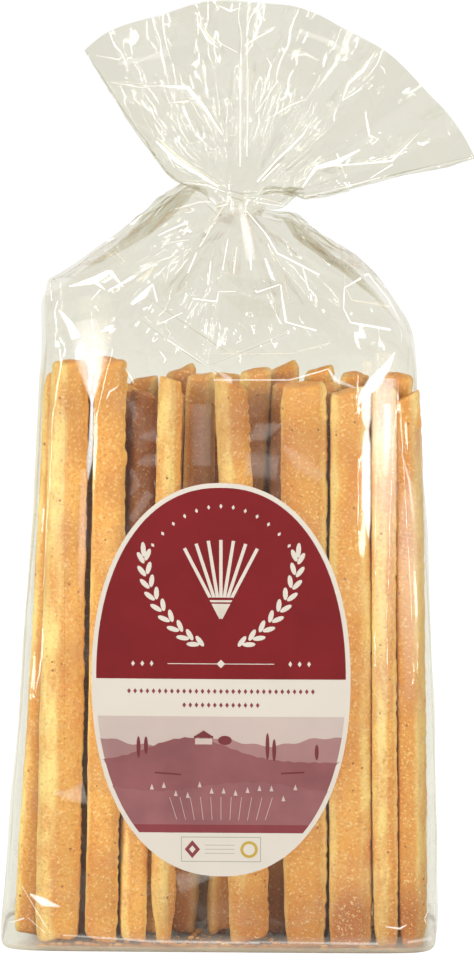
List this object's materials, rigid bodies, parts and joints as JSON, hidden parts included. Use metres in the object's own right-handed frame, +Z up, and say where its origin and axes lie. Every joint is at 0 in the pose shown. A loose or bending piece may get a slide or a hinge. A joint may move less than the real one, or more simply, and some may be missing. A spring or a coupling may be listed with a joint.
{
  "type": "bag of breadsticks",
  "caption": "Clear block-bottom film bag packed with long thin breadsticks, gathered and tied at the neck, with an oval paper label on its front.",
  "frame": {"origin": "middle of the bag's flat base", "axes": "+Z up through the standing bag, -Y out of the label on the front, +X across the front to the right"},
  "size_m": [0.1779, 0.0551, 0.3602],
  "materials": {
    "film": "clear glossy wrapping film, faintly cream, crinkled",
    "breadstick_crust": "dry baked crust, golden with pale sides and brown ends",
    "label_paper": "coated paper, printed maroon and cream",
    "tie_band": "clear tape band"
  },
  "bodies": {
    "root": {"bag": "film", "label": "label_paper", "tie": "tie_band"}
  },
  "joints": []
}
